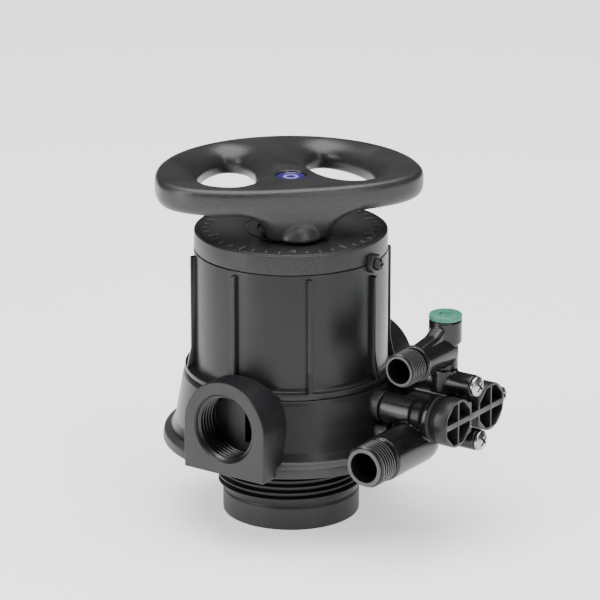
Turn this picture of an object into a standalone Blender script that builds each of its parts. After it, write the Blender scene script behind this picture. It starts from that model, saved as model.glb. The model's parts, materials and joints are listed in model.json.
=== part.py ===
"""Manual control valve for a water-treatment tank, as separate pieces.

Sizes are in millimetres and become metres in add_object. The origin is on the
valve's vertical axis, in the bottom face of the base collar. +Z is up, the inlet
port faces -X, the outlet port +X, and the ejector assembly is on the -Y side.
"""
import math

import bmesh
import bpy
from mathutils import Quaternion, Vector

MM = 0.001
GAP = 0.3                      # running gap kept between touching pieces
SIDES = 32                     # facets of the large turned pieces
SMALL_SIDES = 14               # facets of tubes, screws and bosses

X, Y, Z = Vector((1, 0, 0)), Vector((0, 1, 0)), Vector((0, 0, 1))

# Valve body
COLLAR_R = 34.0
COLLAR_TOP = 11.0
TANK_THREAD_R = 36.5
TANK_THREAD_ROOT_R = 34.2
TANK_THREAD_PITCH = 3.175
TANK_THREAD_FIRST = 16.2
TANK_THREAD_TURNS = 5
FLANGE_R = 63.7
FLANGE_BOTTOM = 38.0
FLANGE_TOP = 43.0
BODY_LOW_R = 57.6
BODY_HIGH_R = 53.3
BODY_TOP = 74.0
CHAMBER_R = 45.0
CHAMBER_FLOOR = 56.0
SEAT_R = 36.0
SEAT_TOP = 66.0
RISER_BORE_R = 13.4
RISER_BORE_TOP = 44.0
RISER_TUBE_R = 17.8
TANK_BORE_R = 30.0
TANK_BORE_TOP = 40.0

# Inlet and outlet ports
PORT_Y = -6.0
PORT_Z = 62.0
PORT_FACE = 66.5
PORT_ARCH_R = 23.5
PORT_BOTTOM = 38.2
PORT_BORE_R = 15.1
PORT_MOUTH_R = 17.2
PORT_BORE_END = 50.0
PORT_WEB = 2.6                 # upright wall across the inlet passage

# Openings through seat, gasket and fixed disc: (x, y, radius, lowest z)
PASSAGES = {
    "riser": (0.5, 9.0, 4.8, 43.0),
    "outlet": (24.0, -4.0, 4.8, 49.3),
    "tank": (-20.0, 14.0, 4.6, 39.0),
    "drain": (-3.0, -22.0, 4.2, 50.0),
}

# Disc stack and shaft
DISC_R = 33.0
GASKET_THICK = 1.5
DISC_THICK = 6.0
MOVING_DISC_R = 30.0
LUG_ANGLE = 60.0
LUG_WIDTH = 8.0
SHAFT_FLANGE_R = 28.0
SHAFT_FLANGE_BOTTOM = 80.7
SHAFT_FLANGE_TOP = 86.5
STEM_R = 9.3
STEM_TOP = 149.7
SHAFT_SQUARE = 12.0
SHAFT_TOP = 161.7
SHAFT_RINGS = (99.0, 107.0)    # heights of the two stem seals
SHAFT_RING_R = 8.6
RING_WIRE_R = 0.85

# Bonnet
BONNET_R = 47.7
BONNET_TOP = 136.0
BONNET_FOOT_R = 52.4
BONNET_FOOT_TOP = 77.0
BONNET_BORE_R = 9.8
RIB_COUNT = 8
RIB_WIDTH = 2.4
RIB_R = 50.0
RIB_FLARE_R = 52.2
RIB_TOP = 134.0
FRONT_RIB_TOP = 129.8

# Dial lid
LID_R = 47.5
LID_TOP = 146.0
TRACK_R = 14.0
TRACK_HALF = 2.6
TRACK_FLOOR = 144.8
TAB_R = 5.5
TAB_FRONT = 50.3

# Handwheel, in a frame whose first axis is the way the pointer points
POINTER = Vector((-math.sqrt(0.5), -math.sqrt(0.5), 0.0))
SIDE = Vector((math.sqrt(0.5), -math.sqrt(0.5), 0.0))
WHEEL_BOTTOM = 160.0
WHEEL_TOP = 174.0
WHEEL_MIDDLE = -3.0            # where the outline is widest, along the pointer
WHEEL_HALF_WIDTH = 66.0
WHEEL_BACK = 65.0
WHEEL_FRONT = 33.0
WHEEL_FRONT_POWER = 2.4
HUB_BOTTOM = 147.3
BADGE_R = 7.3
BADGE_TOP = 172.0

# Ejector assembly
TUBE_A_X = -3.0
TUBE_B_X = 26.6
TUBE_Z = 65.2
SOCKET_FACE = -58.0
FLOW_BORE_R = 5.0
EJECTOR_FLANGE_FACE = -88.0
COVER_FRONT = -100.0
LOBE_R = 12.0
WAIST_HALF = 8.0
UPPER_SCREW = (12.0, 80.0)     # x and z of the screw axes, which run along Y
LOWER_SCREW = (16.0, 51.0)
SIDE_SCREW = (43.8, 65.2)
BOSS_R = 5.4
SCREW_HEAD_R = 5.0
SCREW_SHANK_R = 1.9
SCREW_HOLE_R = 2.25
TOWER_X = 12.0
TOWER_Y = -82.4
TOWER_R = 6.4
TOWER_TOP_R = 8.1
TOWER_STEP = 99.0
TOWER_TOP = 111.0
BRINE_Z = 95.9
BRINE_FACE = -29.5
BRINE_THREAD_R = 8.33
BRINE_BORE_R = 6.3
DRAIN_Y = -75.0
DRAIN_Z = 51.0
DRAIN_FACE = -48.0
DRAIN_THREAD_R = 10.48
DRAIN_BORE_R = 7.5
DRAIN_TUBE_R = 11.2
DRAIN_SOCKET_FACE = -62.0
DRAIN_SOCKET_Z = 50.5

COLOURS = {                    # colour, roughness, metallic
    "black_plastic": ((0.030, 0.031, 0.034), 0.42, 0.0),
    "grey_plastic": ((0.070, 0.071, 0.074), 0.60, 0.0),
    "wheel_plastic": ((0.045, 0.046, 0.049), 0.38, 0.0),
    "rubber": ((0.020, 0.020, 0.020), 0.80, 0.0),
    "ceramic": ((0.850, 0.840, 0.800), 0.25, 0.0),
    "white_plastic": ((0.780, 0.780, 0.760), 0.45, 0.0),
    "green_plastic": ((0.130, 0.450, 0.320), 0.40, 0.0),
    "badge": ((0.070, 0.050, 0.350), 0.20, 0.0),
    "steel": ((0.650, 0.650, 0.660), 0.25, 1.0),
}


def clear_scene():
    for obj in list(bpy.data.objects):
        bpy.data.objects.remove(obj, do_unlink=True)


def make_material(name):
    found = bpy.data.materials.get(name)
    if found:
        return found
    colour, roughness, metallic = COLOURS[name]
    made = bpy.data.materials.new(name)
    made.use_nodes = True
    shader = made.node_tree.nodes["Principled BSDF"]
    shader.inputs["Base Color"].default_value = (*colour, 1.0)
    shader.inputs["Roughness"].default_value = roughness
    shader.inputs["Metallic"].default_value = metallic
    return made


# ---------------------------------------------------------------- mesh helpers

def add_object(name, shape, colour=None, at=(0, 0, 0), along=Z):
    """One object from (points, faces) in millimetres, its local +Z laid along a direction."""
    points, faces = shape
    mesh = bpy.data.meshes.new(name)
    mesh.from_pydata([Vector(point) * MM for point in points], [], faces)
    work = bmesh.new()
    work.from_mesh(mesh)
    bmesh.ops.recalc_face_normals(work, faces=work.faces)
    work.to_mesh(mesh)
    work.free()
    mesh.shade_smooth()
    mesh.set_sharp_from_angle(angle=math.radians(35))
    obj = bpy.data.objects.new(name, mesh)
    bpy.context.scene.collection.objects.link(obj)
    obj.location = Vector(at) * MM
    obj.rotation_mode = "QUATERNION"
    obj.rotation_quaternion = Z.rotation_difference(along) if along != -Z else Quaternion(X, math.pi)
    if colour:
        mesh.materials.append(make_material(colour))
    return obj


def add_tool(name, shape, at=(0, 0, 0), along=Z):
    """A cutter, or a shape that gets joined to a piece: never a piece itself."""
    obj = add_object(name + "_tool", shape, None, at, along)
    obj.hide_render = True
    obj.display_type = "WIRE"
    return obj


def combine(target, operation, tools):
    for tool in tools:
        step = target.modifiers.new(tool.name, "BOOLEAN")
        step.operation = operation
        step.solver = "EXACT"
        step.object = tool
    return target


def cut(target, *tools):
    return combine(target, "DIFFERENCE", tools)


def fuse(target, *tools):
    return combine(target, "UNION", tools)


def lathe(profile, sides=SIDES, closed=False):
    """Turn (radius, height) points about Z; a point on the axis becomes a pole."""
    points, rings, faces = [], [], []
    for radius, height in profile:
        if radius == 0:
            rings.append([len(points)])
            points.append((0, 0, height))
            continue
        rings.append(list(range(len(points), len(points) + sides)))
        for step in range(sides):
            angle = math.tau * step / sides
            points.append((radius * math.cos(angle), radius * math.sin(angle), height))
    nexts = rings[1:] + (rings[:1] if closed else [])
    for low, high in zip(rings, nexts):
        for one in range(sides):
            two = (one + 1) % sides
            if len(low) == 1:
                faces.append((low[0], high[two], high[one]))
            elif len(high) == 1:
                faces.append((low[one], low[two], high[0]))
            else:
                faces.append((low[one], low[two], high[two], high[one]))
    return points, faces


def rod(radius, start, end, sides=SMALL_SIDES):
    return lathe([(0, start), (radius, start), (radius, end), (0, end)], sides)


def tube(inner, outer, start, end, sides=SMALL_SIDES):
    return lathe([(inner, start), (outer, start), (outer, end), (inner, end)], sides, closed=True)


def torus(ring_r, wire_r, height, sides=18, wire_sides=6):
    turn = math.tau / wire_sides
    profile = [(ring_r + wire_r * math.cos(turn * i), height + wire_r * math.sin(turn * i))
               for i in range(wire_sides)]
    return lathe(profile, sides, closed=True)


def box(low, high):
    (x0, y0, z0), (x1, y1, z1) = low, high
    points = [(x, y, z) for z in (z0, z1) for x, y in ((x0, y0), (x1, y0), (x1, y1), (x0, y1))]
    faces = [(3, 2, 1, 0), (4, 5, 6, 7)]
    faces += [(i, (i + 1) % 4, 4 + (i + 1) % 4, 4 + i) for i in range(4)]
    return points, faces


def loft(sections):
    """Skin between rings of 3-D points, with a flat face on each end."""
    count = len(sections[0])
    points = [tuple(point) for section in sections for point in section]
    faces = [tuple(range(count))[::-1], tuple(range(len(points) - count, len(points)))]
    for level in range(len(sections) - 1):
        low = level * count
        for one in range(count):
            two = (one + 1) % count
            faces.append((low + one, low + two, low + count + two, low + count + one))
    return points, faces


def prism(outline, start, end):
    """A flat outline of (x, y) points, drawn out from one height to another."""
    return loft([[(x, y, height) for x, y in outline] for height in (start, end)])


def arc(centre, radius, start, end, steps):
    """Points on an arc, with the angles in degrees."""
    angles = [math.radians(start + (end - start) * i / steps) for i in range(steps + 1)]
    return [(centre[0] + radius * math.cos(a), centre[1] + radius * math.sin(a)) for a in angles]


def smooth_loop(corners, steps):
    """A closed Catmull-Rom curve through a few points."""
    count = len(corners)
    loop = []
    for i in range(count):
        a, b, c, d = (Vector(corners[(i + k - 1) % count]) for k in range(4))
        for step in range(steps):
            t = step / steps
            loop.append(0.5 * (2 * b + (c - a) * t + (2 * a - 5 * b + 4 * c - d) * t * t
                               + (3 * b - a - 3 * c + d) * t ** 3))
    return loop


def offset(outline, distance):
    """Move an anticlockwise outline outwards, point by point."""
    count = len(outline)
    moved = []
    for i, point in enumerate(outline):
        ahead = Vector(outline[(i + 1) % count]) - Vector(outline[i - 1])
        outward = Vector((ahead.y, -ahead.x)).normalized()
        moved.append(Vector(point) + outward * distance)
    return moved


# ---------------------------------------------------------------- valve body

def body_profile():
    """Half section of the body, from the top of the riser bore round to the disc seat."""
    line = [(0, RISER_BORE_TOP), (RISER_BORE_R, RISER_BORE_TOP), (RISER_BORE_R, 12), (16, 12), (16, 8),
            (RISER_BORE_R, 8), (RISER_BORE_R, 3), (RISER_TUBE_R, 3), (RISER_TUBE_R, TANK_BORE_TOP),
            (TANK_BORE_R, TANK_BORE_TOP), (TANK_BORE_R, 0), (COLLAR_R - 0.6, 0), (COLLAR_R, 0.6),
            (COLLAR_R, COLLAR_TOP), (TANK_THREAD_ROOT_R - 1, COLLAR_TOP + 1.5)]
    for turn in range(TANK_THREAD_TURNS):
        height = TANK_THREAD_FIRST + turn * TANK_THREAD_PITCH
        line += [(TANK_THREAD_ROOT_R, height - TANK_THREAD_PITCH / 2), (TANK_THREAD_R, height)]
    line += [(TANK_THREAD_ROOT_R - 1, 31.5), (TANK_THREAD_ROOT_R - 1, FLANGE_BOTTOM),
             (FLANGE_R, FLANGE_BOTTOM), (FLANGE_R - 0.6, FLANGE_TOP), (59.6, 45), (BODY_LOW_R, 48),
             (BODY_HIGH_R, 72), (BODY_HIGH_R - 1.6, BODY_TOP), (CHAMBER_R, BODY_TOP),
             (CHAMBER_R, CHAMBER_FLOOR), (SEAT_R, CHAMBER_FLOOR), (SEAT_R, SEAT_TOP), (0, SEAT_TOP)]
    return line


def port_boss(name, side):
    """Arched block round a port; side is -1 for the inlet and 1 for the outlet."""
    arch = arc((PORT_Y, PORT_Z), PORT_ARCH_R, 0, 180, 14)
    outline = [(PORT_Y + PORT_ARCH_R, PORT_BOTTOM)] + arch + [(PORT_Y - PORT_ARCH_R, PORT_BOTTOM)]
    sections = [[(side * x, y, z) for y, z in outline] for x in (47.0, PORT_FACE)]
    return add_tool(name, loft(sections))


def port_bore(name, side):
    depth = PORT_FACE - PORT_BORE_END
    profile = [(0, 0), (PORT_BORE_R, 0), (PORT_BORE_R, depth - 2.1), (PORT_MOUTH_R, depth),
               (PORT_MOUTH_R, depth + 3), (0, depth + 3)]
    return add_tool(name, lathe(profile, 24), (side * PORT_BORE_END, PORT_Y, PORT_Z), side * X)


def passage_cutters(start, end):
    tools = []
    for name, (x, y, radius, lowest) in PASSAGES.items():
        low = lowest if start is None else start
        tools.append(add_tool(name + "_hole", rod(radius, low, end, 12), (x, y, 0)))
    return tools


def make_valve_body():
    body = add_object("valve_body", lathe(body_profile()), "black_plastic")
    fuse(body, port_boss("inlet_boss", -1), port_boss("outlet_boss", 1))
    cut(body, add_tool("bonnet_room", rod(53.0, BODY_TOP + 0.1, 100, SIDES)))
    for x, z, radius, start, end in ((TUBE_A_X, TUBE_Z, 7.8, -50, SOCKET_FACE),
                                     (TUBE_B_X, TUBE_Z, 7.8, -43, SOCKET_FACE),
                                     (TUBE_A_X, DRAIN_SOCKET_Z, 8.0, -50, DRAIN_SOCKET_FACE),
                                     (LOWER_SCREW[0], LOWER_SCREW[1], BOSS_R, -48, DRAIN_SOCKET_FACE),
                                     (UPPER_SCREW[0], UPPER_SCREW[1], BOSS_R, -53.6, SOCKET_FACE)):
        fuse(body, add_tool("socket", rod(radius, 0, start - end), (x, start, z), -Y))
    fuse(body, add_tool("lug", box((UPPER_SCREW[0] - 4, SOCKET_FACE, 62), (UPPER_SCREW[0] + 4, -50, 73.6))),
         add_tool("lug_neck", box((UPPER_SCREW[0] - 4, SOCKET_FACE, 73), (UPPER_SCREW[0] + 4, -53.6, 78))))
    cut(body, port_bore("inlet_bore", -1), port_bore("outlet_bore", 1))
    for side in (-1, 1):
        low_y = PORT_Y + side * PORT_WEB / 2
        high_y = low_y + side * 6.5
        slot = box((-51, min(low_y, high_y), 54), (-40, max(low_y, high_y), 69))
        cut(body, add_tool("inlet_slot", slot))
    cut(body, add_tool("outlet_slot", box((18, -9.6, 46), (51, 1.4, 54.5))))
    cut(body, *passage_cutters(None, 70))
    for x, z, face, inner in ((TUBE_A_X, TUBE_Z, SOCKET_FACE, -40), (TUBE_B_X, TUBE_Z, SOCKET_FACE, -33.3),
                              (TUBE_A_X, DRAIN_SOCKET_Z, DRAIN_SOCKET_FACE, -19)):
        bore_r = FLOW_BORE_R if z == TUBE_Z else FLOW_BORE_R - 0.6
        profile = [(0, 0), (bore_r, 0), (bore_r, inner - face - 2), (6.9, inner - face - 2),
                   (6.9, inner - face + 1), (0, inner - face + 1)]
        cut(body, add_tool("socket_bore", lathe(profile, 18), (x, inner, z), -Y))
    for (x, z), face in ((LOWER_SCREW, DRAIN_SOCKET_FACE), (UPPER_SCREW, SOCKET_FACE)):
        cut(body, add_tool("screw_hole", rod(SCREW_HOLE_R, -1, 9, 12), (x, face, z), Y))
    return body


def make_base_seals():
    add_object("tank_o_ring", torus(35.6, 1.8, 35.5, 28), "rubber")
    add_object("riser_o_ring", torus(14.2, 1.4, 10.0), "rubber")


# ---------------------------------------------------------------- disc stack, shaft and bonnet

def make_disc_stack():
    gasket_low = SEAT_TOP + GAP
    gasket_high = gasket_low + GASKET_THICK
    gasket = add_object("disc_gasket", rod(DISC_R, gasket_low, gasket_high, SIDES), "rubber")
    cut(gasket, *passage_cutters(gasket_low - 1, gasket_high + 1))
    disc_low = gasket_high + GAP
    disc_high = disc_low + DISC_THICK
    fixed = add_object("fixed_disc", rod(DISC_R, disc_low, disc_high, SIDES), "ceramic")
    cut(fixed, *passage_cutters(disc_low - 1, disc_high + 1))
    moving_low = disc_high + GAP
    moving_high = moving_low + DISC_THICK
    moving = add_object("moving_disc", rod(MOVING_DISC_R, moving_low, moving_high, SIDES), "ceramic")
    x, y, radius, _ = PASSAGES["tank"]
    cut(moving, add_tool("tank_port", rod(radius, moving_low - 1, moving_high + 1, 16), (x, y, 0)))
    cross_shape = box((-16, -5.4, moving_low - 1), (16, 5.4, moving_low + 3.2))
    pocket = add_tool("cross_pocket", cross_shape, (12, 3, 0))
    pocket.rotation_quaternion = Quaternion(Z, math.radians(-28))
    cut(moving, pocket)
    for tool in lug_tools("notch", 23.3, 31, LUG_WIDTH + 0.8, moving_low - 1, moving_high + 1):
        cut(moving, tool)


def lug_tools(name, inner, outer, width, low, high):
    """Two blocks, opposite each other, that carry the drive from shaft to disc."""
    tools = []
    for turn in (0, 180):
        tool = add_tool(name, box((inner, -width / 2, low), (outer, width / 2, high)))
        tool.rotation_quaternion = Quaternion(Z, math.radians(LUG_ANGLE + turn))
        tools.append(tool)
    return tools


def make_drive_shaft():
    line = [(0, SHAFT_FLANGE_BOTTOM), (SHAFT_FLANGE_R, SHAFT_FLANGE_BOTTOM),
            (SHAFT_FLANGE_R, SHAFT_FLANGE_TOP), (STEM_R, SHAFT_FLANGE_TOP)]
    for height in SHAFT_RINGS:
        line += [(STEM_R, height - 1.2), (7.5, height - 1.2), (7.5, height + 1.2), (STEM_R, height + 1.2)]
    line += [(STEM_R, STEM_TOP), (0, STEM_TOP)]
    shaft = add_object("drive_shaft", lathe(line, 24), "white_plastic")
    half = SHAFT_SQUARE / 2
    fuse(shaft, add_tool("square", box((-half, -half, STEM_TOP - 3), (half, half, SHAFT_TOP))))
    fuse(shaft, *lug_tools("lug", 23.8, 27.6, LUG_WIDTH, 76.6, SHAFT_FLANGE_BOTTOM + 1))
    cut(shaft, add_tool("screw_bore", rod(2.7, 148, SHAFT_TOP + 2, 12)))
    washer = tube(BONNET_BORE_R + 0.1, 16.0, SHAFT_FLANGE_TOP + GAP, 89.2, 20)
    add_object("thrust_washer", washer, "white_plastic")
    for name, height in zip(("shaft_o_ring_lower", "shaft_o_ring_upper"), SHAFT_RINGS):
        add_object(name, torus(SHAFT_RING_R, RING_WIRE_R, height), "rubber")


def rib_tool(angle, top):
    """One upright rib of the bonnet, flared at its foot."""
    outline = [(46.2, 76.4), (RIB_FLARE_R, 76.4), (RIB_FLARE_R - 0.5, 79.5), (RIB_R, 86),
               (RIB_R, top - 1.2), (RIB_R - 1.2, top), (46.2, top)]
    points, faces = prism(outline, -RIB_WIDTH / 2, RIB_WIDTH / 2)
    points = [(x, -z, y) for x, y, z in points]
    tool = add_tool("rib", (points, faces))
    tool.rotation_quaternion = Quaternion(Z, math.radians(angle))
    return tool


def make_bonnet():
    spigot_low = SEAT_TOP + GAP
    foot_low = BODY_TOP + GAP
    line = [(40, spigot_low), (44.5, spigot_low), (44.5, 68.4), (42.4, 68.4), (42.4, 71.4), (44.5, 71.4),
            (44.5, foot_low), (BONNET_FOOT_R, foot_low), (BONNET_FOOT_R, BONNET_FOOT_TOP - 0.4),
            (BONNET_FOOT_R - 0.4, BONNET_FOOT_TOP), (48.6, BONNET_FOOT_TOP),
            (BONNET_R, BONNET_FOOT_TOP + 1), (BONNET_R, BONNET_TOP), (BONNET_BORE_R, BONNET_TOP),
            (BONNET_BORE_R, 89.5), (14, 89.5), (14, 129), (43.5, 129), (43.5, 81), (40, 78)]
    bonnet = add_object("bonnet", lathe(line, closed=True), "black_plastic")
    for i in range(RIB_COUNT):
        angle = 180 + i * 360 / RIB_COUNT
        fuse(bonnet, rib_tool(angle, FRONT_RIB_TOP if angle == 270 else RIB_TOP))
    cut(bonnet, lock_hole())
    add_object("bonnet_o_ring", torus(43.75, 0.85, 69.9, 28), "rubber")


def lock_hole():
    return add_tool("lock_hole", rod(2.2, 0, 12, 12), (0, -TAB_FRONT - 1, BONNET_TOP + GAP / 2), Y)


def make_dial_lid():
    low = BONNET_TOP + GAP
    line = [(10.4, low), (LID_R, low), (LID_R, LID_TOP - 1.3), (LID_R - 1.3, LID_TOP),
            (TRACK_R + TRACK_HALF, LID_TOP), (TRACK_R + TRACK_HALF, TRACK_FLOOR),
            (TRACK_R - TRACK_HALF, TRACK_FLOOR), (TRACK_R - TRACK_HALF, LID_TOP), (10.4, LID_TOP)]
    lid = add_object("dial_lid", lathe(line, closed=True), "wheel_plastic")
    tab = arc((0, BONNET_TOP), TAB_R, 180, 360, 12) + [(TAB_R, 142.5), (4, 144), (-4, 144), (-TAB_R, 142.5)]
    sections = [[(x, y, z) for x, z in tab] for y in (-TAB_FRONT, -48.0)]
    fuse(lid, add_tool("tab", loft(sections)),
         add_tool("tab_root", box((-4, -48.6, 137), (4, -46, 143))))
    cut(lid, lock_hole())
    screw = lathe([(0, 0), (1.8, 0), (1.8, 9), (3.8, 9), (3.8, 10.2), (2.8, 11.2), (0, 11.4)], 16)
    place = (0, -TAB_FRONT + 9 - GAP, BONNET_TOP + GAP / 2)
    add_object("lid_lock_screw", screw, "wheel_plastic", place, -Y)


# ---------------------------------------------------------------- handwheel

def in_wheel_frame(along, side, height):
    return POINTER * along + SIDE * side + Z * height


def wheel_outline(steps=40):
    """Round at the back and flattened at the front."""
    outline = []
    for step in range(steps):
        angle = math.tau * step / steps
        front = math.cos(angle) > 0
        power = 2 / WHEEL_FRONT_POWER if front else 1.0
        reach = WHEEL_FRONT if front else WHEEL_BACK
        along = WHEEL_MIDDLE + reach * math.copysign(abs(math.cos(angle)) ** power, math.cos(angle))
        side = WHEEL_HALF_WIDTH * math.copysign(abs(math.sin(angle)) ** power, math.sin(angle))
        outline.append((along, side))
    return outline


def finger_hole_outline(mirror):
    corners = [(-32, 8.5), (-15, 10), (0, 14.5), (11, 22), (16.5, 33), (10, 46), (-6, 52), (-22, 51.5),
               (-37, 45), (-49, 36), (-54.5, 24), (-47, 12.5)]
    loop = smooth_loop(corners, 2)
    return [(a, s) for a, s in loop] if mirror > 0 else [(a, -s) for a, s in reversed(loop)]


def wheel_loft(outline, levels):
    """Sections of an outline, each (height, distance outwards), in the wheel's frame."""
    return loft([[in_wheel_frame(a, s, height) for a, s in offset(outline, out)] for height, out in levels])


def make_handwheel():
    rim = [(WHEEL_BOTTOM, -4.0), (WHEEL_BOTTOM + 1.5, -1.3), (WHEEL_BOTTOM + 4, 0), (WHEEL_TOP - 5, 0),
           (WHEEL_TOP - 1.8, -1.3), (WHEEL_TOP, -4.5)]
    wheel = add_object("handwheel", wheel_loft(wheel_outline(), rim), "wheel_plastic")
    trunk = [(4 + 22 * math.cos(math.tau * i / 24), 15.8 * math.sin(math.tau * i / 24)) for i in range(24)]
    fuse(wheel, add_tool("trunk", wheel_loft(trunk, [(HUB_BOTTOM, -0.6), (HUB_BOTTOM + 1.5, 0), (165, 1)])))
    half_web = [(15.2, HUB_BOTTOM), (15.8, 151.5), (18, 155), (23, 158.6), (33, 161.6), (33, 166)]
    web = half_web + [(-side, height) for side, height in reversed(half_web)]
    sections = [[in_wheel_frame(along, side, height) for side, height in web] for along in (12, 25.5)]
    fuse(wheel, add_tool("front_web", loft(sections)))
    nose = [(20, 9), (27, 7.5), (31, 2.5), (31, -2.5), (27, -7.5), (20, -9)]
    fuse(wheel, add_tool("nose", wheel_loft(nose[::-1], [(HUB_BOTTOM, 0), (HUB_BOTTOM + 3.2, 0),
                                                         (HUB_BOTTOM + 5, -2)])))
    flare = [(WHEEL_BOTTOM - 1, -1.0), (WHEEL_BOTTOM + 2, -3.0), (WHEEL_TOP - 5.5, -3.6),
             (WHEEL_TOP - 2, -2.4), (WHEEL_TOP, 0.0), (WHEEL_TOP + 1, 1.0)]
    for mirror in (1, -1):
        cut(wheel, add_tool("finger_hole", wheel_loft(finger_hole_outline(mirror), flare)))
    half = SHAFT_SQUARE / 2 + GAP
    cut(wheel, add_tool("stem_recess", rod(9.7, 140, STEM_TOP + GAP, 32)),
        add_tool("square_socket", box((-half, -half, 140), (half, half, SHAFT_TOP + GAP))),
        add_tool("screw_way", rod(2.7, 150, 168, 12)),
        add_tool("badge_pocket", rod(BADGE_R + GAP, 164.5, 180, 24)),
        add_tool("ball_pocket", rod(2.8, 140, 158.2, 16), POINTER * -TRACK_R))


def make_wheel_fittings():
    add_object("handwheel_washer", tube(2.8, 6.8, 164.8, 165.8), "steel")
    screw = [(0, 152), (2.35, 152), (2.35, 166.1), (5.0, 166.1), (5.0, 168.6), (4.0, 169.4), (0, 169.4)]
    add_object("handwheel_screw", lathe(screw, 16), "steel")
    badge = lathe([(0, 170), (BADGE_R - 0.4, 170), (BADGE_R, 170.4), (BADGE_R, 171.5),
                   (BADGE_R - 0.6, BADGE_TOP), (0, BADGE_TOP)], 24)
    add_object("handwheel_badge", badge, "badge")
    ball_r = 2.4
    turns = [math.pi * i / 8 for i in range(9)]
    half_circle = [(ball_r * math.sin(turn), -ball_r * math.cos(turn)) for turn in turns]
    half_circle[0], half_circle[-1] = (0, -ball_r), (0, ball_r)
    place = POINTER * -TRACK_R
    add_object("detent_ball", lathe(half_circle, 16), "steel", place + Z * 147.5)
    add_object("detent_spring", coil(2.1, 0.3, 150.4, 157.6, 4), "steel", place)


def coil(ring_r, wire_r, low, high, turns, per_turn=10, wire_sides=5):
    """A compression spring about the local Z axis."""
    sections = []
    count = turns * per_turn
    climb = (high - low - 2 * wire_r) / count
    for step in range(count + 1):
        angle = math.tau * step / per_turn
        outward = Vector((math.cos(angle), math.sin(angle), 0))
        middle = outward * ring_r + Z * (low + wire_r + climb * step)
        sections.append([middle + outward * wire_r * math.cos(math.tau * k / wire_sides)
                         + Z * wire_r * math.sin(math.tau * k / wire_sides) for k in range(wire_sides)])
    return loft(sections)


# ---------------------------------------------------------------- ejector assembly

def figure_eight(lobe_r, waist_half):
    """Two round lobes joined by a waist, as (x, z) points, anticlockwise from the right lobe."""
    lift = math.degrees(math.asin(waist_half / lobe_r))
    right = arc((TUBE_B_X, TUBE_Z), lobe_r, lift - 180, 180 - lift, 20)
    left = arc((TUBE_A_X, TUBE_Z), lobe_r, lift, 360 - lift, 20)
    return right + left


def plate(outline, start, end):
    """An (x, z) outline drawn out along Y."""
    return loft([[(x, y, z) for x, z in outline] for y in (start, end)])


def along_y(name, x, z, profile, sides=SMALL_SIDES):
    """A turned tool whose profile heights are distances in front of the valve axis."""
    return add_tool(name, lathe(profile, sides), (x, 0, z), -Y)


def make_ejector_body():
    flange_face = -EJECTOR_FLANGE_FACE
    body = add_object("ejector_body", plate(figure_eight(LOBE_R, WAIST_HALF), -84.5, EJECTOR_FLANGE_FACE),
                      "black_plastic")
    for x in (TUBE_A_X, TUBE_B_X):
        line = [(0, 58.3), (6.8, 58.3), (6.8, 66), (7.6, 66.4), (7.6, 79), (10, 80.5), (10, 86), (0, 86)]
        fuse(body, along_y("tube", x, TUBE_Z, line))
    fuse(body, add_tool("bridge", box((TUBE_A_X, -85, 60.5), (TUBE_B_X, -67, 72.4))))
    for (x, z), start, end in ((UPPER_SCREW, 58.3, 99.7), (LOWER_SCREW, 62.3, 99.7), (SIDE_SCREW, 68, 94)):
        boss_r = BOSS_R if x < TUBE_B_X else 4.2
        fuse(body, along_y("boss", x, z, [(0, start), (boss_r, start), (boss_r, end), (0, end)]))
    fuse(body, add_tool("upper_web", box((9, -85.7, 68), (18.2, -62, 78))),
         add_tool("lower_web", box((TUBE_A_X + 4, -84, 51.5), (LOWER_SCREW[0], -66, 61.5))),
         add_tool("lower_web_right", box((LOWER_SCREW[0] - 2, -86, 51), (LOWER_SCREW[0] + 2, -66, 66))),
         add_tool("side_web", box((TUBE_B_X, -86, 64), (SIDE_SCREW[0], -70, 68))))
    fuse(body, add_tool("tower", rod(TOWER_R, 74.2, 86), (TOWER_X, TOWER_Y, 0)))
    drain = [(0, 0), (DRAIN_THREAD_R - 0.8, 0), (DRAIN_THREAD_R, 0.8), (DRAIN_THREAD_R, 14),
             (DRAIN_TUBE_R, 14.4), (DRAIN_TUBE_R, 46), (10.4, 50), (7.5, 53.6), (4, 55.4), (0, 56)]
    fuse(body, add_tool("drain", lathe(drain, 22), (DRAIN_FACE, DRAIN_Y, DRAIN_Z), X))
    arm = [(0, 62.3), (7.1, 62.3), (7.1, 76.3), (0, 76.3)]
    fuse(body, along_y("drain_arm", TUBE_A_X, DRAIN_SOCKET_Z, arm))
    drain_bore = add_tool("drain_bore", rod(DRAIN_BORE_R, -1, 48.7, 22), (DRAIN_FACE, DRAIN_Y, DRAIN_Z), X)
    arm_bore = [(0, 60), (4.3, 60), (4.3, 73), (0, 73)]
    fuse(drain_bore, along_y("drain_arm_bore", TUBE_A_X, DRAIN_SOCKET_Z, arm_bore, 17))
    cut(body, drain_bore)
    for x in (TUBE_A_X, TUBE_B_X):
        line = [(0, 57), (FLOW_BORE_R, 57), (FLOW_BORE_R, flange_face + 1), (0, flange_face + 1)]
        cut(body, along_y("flow_bore", x, TUBE_Z, line, 18))
    for (x, z), start, end in ((UPPER_SCREW, 57, 101), (LOWER_SCREW, 61, 101), (SIDE_SCREW, 74, 96)):
        line = [(0, start), (SCREW_HOLE_R, start), (SCREW_HOLE_R, end), (0, end)]
        cut(body, along_y("screw_way", x, z, line, 12))
    brine_drop = add_tool("brine_drop", rod(1.2, 64.2, 84.1, 9), (TOWER_X + 4.1, TOWER_Y, 0))
    fuse(brine_drop, add_tool("brine_cross", rod(1.3, -1.8, 9, 11), (TOWER_X + 4.1, TOWER_Y, TUBE_Z), X))
    cut(body, add_tool("tower_bore", rod(4.5, 83, 88, 17), (TOWER_X, TOWER_Y, 0)), brine_drop)
    return body


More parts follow.
